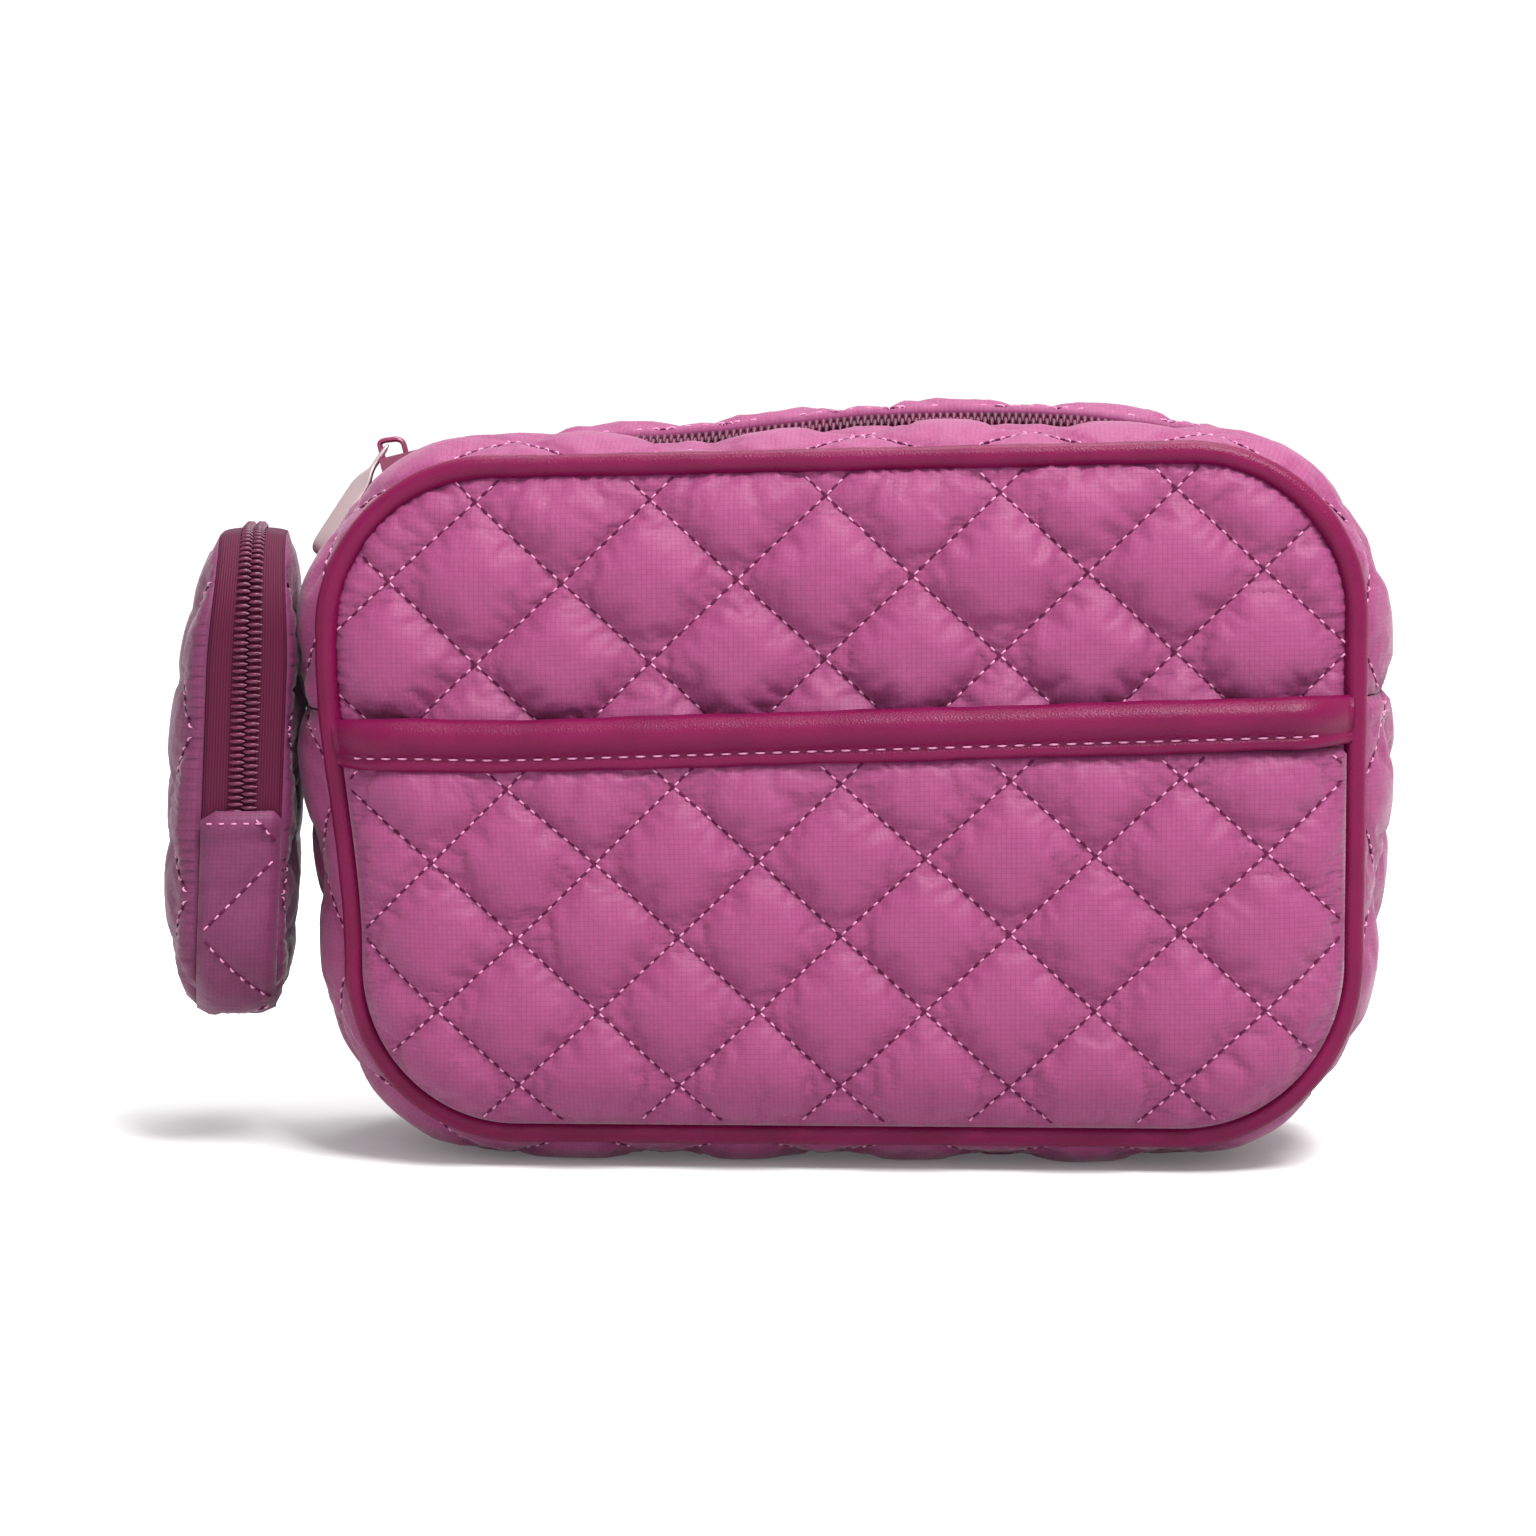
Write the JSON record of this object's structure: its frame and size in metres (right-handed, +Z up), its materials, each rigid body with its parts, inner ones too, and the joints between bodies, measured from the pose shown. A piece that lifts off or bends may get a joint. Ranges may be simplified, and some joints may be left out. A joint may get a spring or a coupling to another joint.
{
  "type": "makeup bag",
  "caption": "Quilted nylon makeup bag with piped edges, a front slip pocket, a zip over the top and a zipped pouch hanging at one side.",
  "frame": {"origin": "middle of the flat bottom of the main bag, on the surface it stands on", "axes": "+X to the right seen from the front, +Y away from the front face, +Z up"},
  "size_m": [0.2692, 0.0968, 0.1625],
  "materials": {
    "quilted_nylon": "quilted ripstop nylon over wadding, soft satin sheen",
    "leatherette": "smooth coated leatherette with a fine grain, satin",
    "zip_tape": "woven herringbone tape, matt",
    "zip_coil": "moulded nylon coil, soft gloss",
    "lining": "plain woven lining, matt",
    "piping_cord": "twisted cotton filler cord, matt",
    "painted_bridge": "die-cast metal under magenta paint, gloss",
    "slider_metal": "die-cast zinc, satin nickel plate",
    "pull_metal": "die-cast zinc, satin pink metallic plate",
    "ring_metal": "bent wire, nickel plate, polished"
  },
  "bodies": {
    "bag": {"front_panel_lower": "quilted_nylon", "front_piping_lower": "leatherette", "front_piping_cord_lower": "piping_cord", "front_pocket": "quilted_nylon", "pocket_lining": "lining", "pocket_binding": "leatherette", "back_panel": "quilted_nylon", "back_piping": "leatherette", "back_piping_cord": "piping_cord", "lower_gusset": "quilted_nylon", "back_gusset_strip": "quilted_nylon", "back_zip_tape": "zip_tape", "back_zip_coil": "zip_coil", "lining_front_lower": "lining", "lining_back": "lining", "lining_lower_gusset": "lining", "lining_back_strip": "lining", "hanger_tab_bag": "leatherette"},
    "front_flap": {"front_panel_upper": "quilted_nylon", "front_piping_upper": "leatherette", "front_piping_cord_upper": "piping_cord", "front_gusset_strip": "quilted_nylon", "front_zip_tape": "zip_tape", "front_zip_coil": "zip_coil", "lining_front_upper": "lining", "lining_front_strip": "lining"},
    "main_slider": {"main_slider": "slider_metal", "main_slider_bridge": "painted_bridge"},
    "main_pull": {"main_pull": "pull_metal"},
    "hanger_ring": {"hanger_ring": "ring_metal"},
    "hanger_gate": {"hanger_gate": "ring_metal"},
    "pouch_flap": {"pouch_outer_panel_upper": "quilted_nylon", "pouch_zip_tape_outer": "zip_tape", "pouch_zip_coil_outer": "zip_coil", "pouch_lining_outer_upper": "lining"},
    "pouch_slider": {"pouch_slider": "slider_metal", "pouch_slider_bridge": "painted_bridge"},
    "pouch_pull": {"pouch_pull": "pull_metal"},
    "pouch": {"hanger_tab_pouch": "leatherette", "pouch_inner_panel": "quilted_nylon", "pouch_outer_panel_lower": "quilted_nylon", "pouch_lower_gusset": "quilted_nylon", "pouch_zip_tape_inner": "zip_tape", "pouch_zip_coil_inner": "zip_coil", "pouch_lining_inner": "lining", "pouch_lining_outer_lower": "lining", "pouch_lining_gusset": "lining"}
  },
  "joints": [
    {"name": "mouth_open", "type": "hinge", "parent": "bag", "child": "front_flap", "pos_m": [0, -0.048, 0.099], "axis": [1, 0, 0], "range_deg": [0, 55], "deforming": ["front_zip_tape", "front_zip_coil"]},
    {"name": "slider_travel", "type": "hinge", "parent": "bag", "child": "main_slider", "pos_m": [0, 0, -0.2375], "axis": [0, 1, 0], "range_deg": [0, 26], "deforming": ["back_zip_tape", "back_zip_coil"]},
    {"name": "pull_swing", "type": "hinge", "parent": "main_slider", "child": "main_pull", "pos_m": [-0.10075, 0, 0.15334], "axis": [0, 1, 0], "range_deg": [0, 214]},
    {"name": "ring_swing", "type": "hinge", "parent": "bag", "child": "hanger_ring", "pos_m": [-0.1212, 0.014, 0.1115], "axis": [0, 1, 0], "range_deg": [0, 50]},
    {"name": "gate_open", "type": "hinge", "parent": "hanger_ring", "child": "hanger_gate", "pos_m": [-0.1212, 0.02063, 0.10797], "axis": [1, 0, 0], "range_deg": [-30, 0]},
    {"name": "pouch_swing", "type": "hinge", "parent": "hanger_ring", "child": "pouch", "pos_m": [-0.1212, 0.014, 0.0955], "axis": [0, 1, 0], "range_deg": [-50, 0]},
    {"name": "pouch_open", "type": "hinge", "parent": "pouch", "child": "pouch_flap", "pos_m": [-0.14517, 0.00431, 0.079], "axis": [-0.1564, 0.9877, 0], "range_deg": [-60, 0], "deforming": ["pouch_zip_tape_outer", "pouch_zip_coil_outer"]},
    {"name": "pouch_slider_travel", "type": "slide", "parent": "pouch", "child": "pouch_slider", "axis": [0, 0, 1], "range_m": [0, 0.022], "deforming": ["pouch_zip_tape_inner", "pouch_zip_coil_inner"]},
    {"name": "pouch_pull_swing", "type": "hinge", "parent": "pouch_slider", "child": "pouch_pull", "pos_m": [-0.14101, 0.04709, 0.0848], "axis": [0.9877, 0.1564, 0], "range_deg": [0, 150]}
  ],
  "couplings": [
    {"joint": "pull_swing", "follows": "slider_travel", "ratio": 8.2},
    {"joint": "pouch_swing", "follows": "ring_swing", "ratio": -1}
  ]
}
